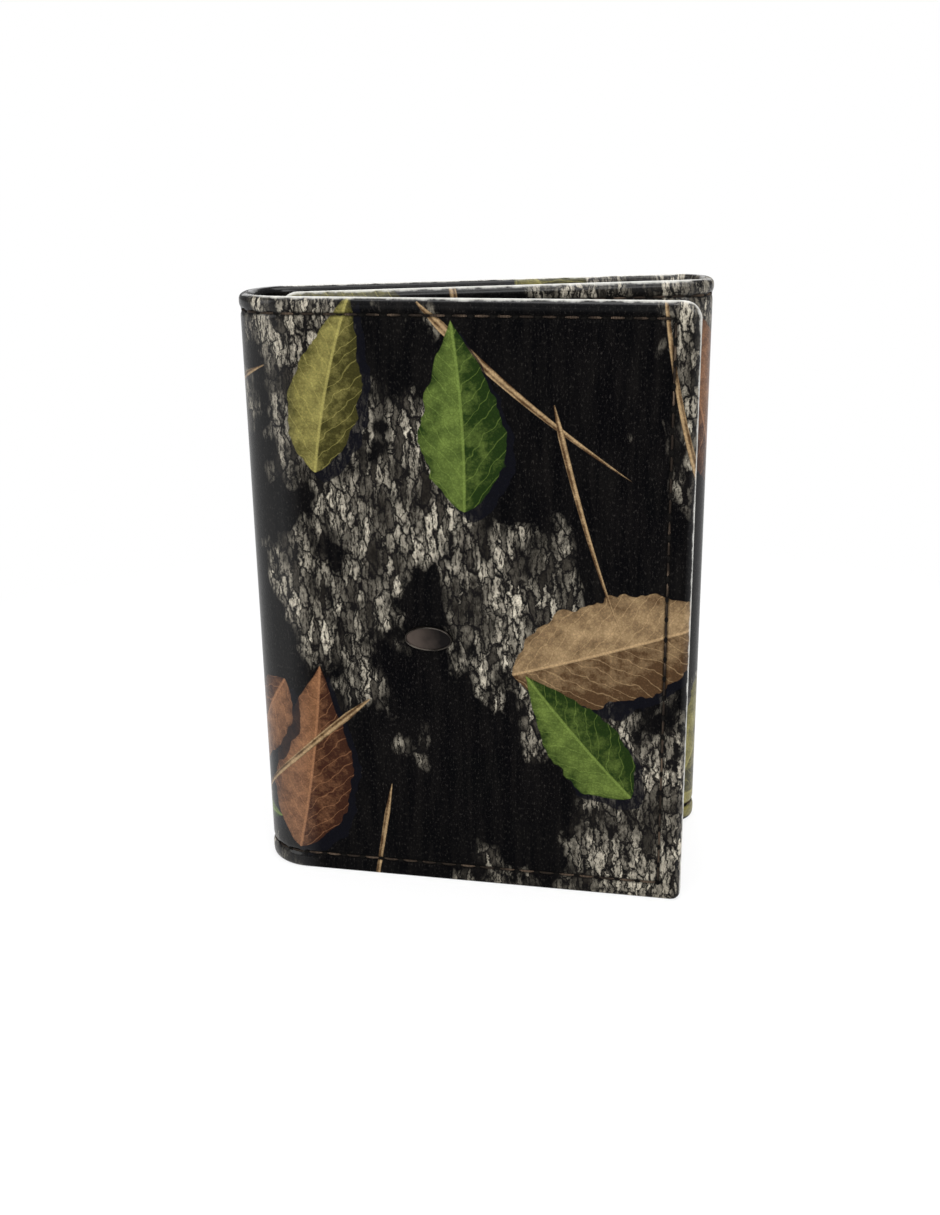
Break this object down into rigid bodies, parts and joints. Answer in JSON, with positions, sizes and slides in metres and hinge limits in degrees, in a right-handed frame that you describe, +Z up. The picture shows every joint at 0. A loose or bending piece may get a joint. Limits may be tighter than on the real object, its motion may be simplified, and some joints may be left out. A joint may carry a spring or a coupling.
{
  "type": "trifold wallet",
  "caption": "Trifold wallet in printed leather, stitched edges, folding front cover and tuck flap, card pockets, identity window and bill compartment.",
  "frame": {"origin": "centre of the bounding box at the lower edges the wallet stands on", "axes": "+Z up along the folds, +Y out of the back panel, +X from the cover fold to the tuck flap fold"},
  "size_m": [0.0862, 0.042, 0.108],
  "materials": {
    "printed_leather": "semi-gloss print",
    "pocket_leather": "satin",
    "lining_cloth": "plain weave",
    "clear_vinyl": "clear",
    "thread": "twisted thread",
    "emblem_metal": "dark plated"
  },
  "bodies": {
    "back_panel": {"back_cover": "printed_leather", "back_lining": "lining_cloth", "back_divider": "pocket_leather", "id_window": "clear_vinyl", "id_window_frame": "pocket_leather", "back_top_thread": "thread", "back_bottom_thread": "thread", "left_fold_cover": "printed_leather", "left_fold_lining": "lining_cloth", "left_fold_top_thread": "thread", "left_fold_bottom_thread": "thread", "right_fold_cover": "printed_leather", "right_fold_lining": "lining_cloth", "right_fold_top_thread": "thread", "right_fold_bottom_thread": "thread"},
    "front_flap": {"front_flap_cover": "printed_leather", "front_flap_lining": "lining_cloth", "front_flap_divider": "pocket_leather", "front_flap_card_pocket_1": "pocket_leather", "front_flap_card_pocket_2": "pocket_leather", "front_flap_card_pocket_3": "pocket_leather", "front_flap_top_thread": "thread", "front_flap_bottom_thread": "thread", "front_flap_end_thread": "thread", "emblem_plate": "emblem_metal", "emblem_washer": "emblem_metal"},
    "tuck_flap": {"tuck_flap_cover": "printed_leather", "tuck_flap_lining": "lining_cloth", "tuck_flap_divider": "pocket_leather", "tuck_flap_card_pocket_1": "pocket_leather", "tuck_flap_card_pocket_2": "pocket_leather", "tuck_flap_card_pocket_3": "pocket_leather", "tuck_flap_top_thread": "thread", "tuck_flap_bottom_thread": "thread", "tuck_flap_end_thread": "thread"}
  },
  "joints": [
    {"name": "front_flap_fold", "type": "hinge", "parent": "back_panel", "child": "front_flap", "pos_m": [-0.03375, 0.0118, 0.054], "axis": [0, 0, -1], "range_deg": [-18.5, 160], "deforming": ["left_fold_cover", "left_fold_lining", "left_fold_top_thread", "left_fold_bottom_thread"]},
    {"name": "tuck_flap_fold", "type": "hinge", "parent": "back_panel", "child": "tuck_flap", "pos_m": [0.03675, 0.0148, 0.054], "axis": [0, 0, 1], "range_deg": [-2.5, 175], "deforming": ["right_fold_cover", "right_fold_lining", "right_fold_top_thread", "right_fold_bottom_thread"]}
  ],
  "couplings": [
    {"joint": "tuck_flap_fold", "follows": "front_flap_fold", "ratio": 0.12}
  ]
}
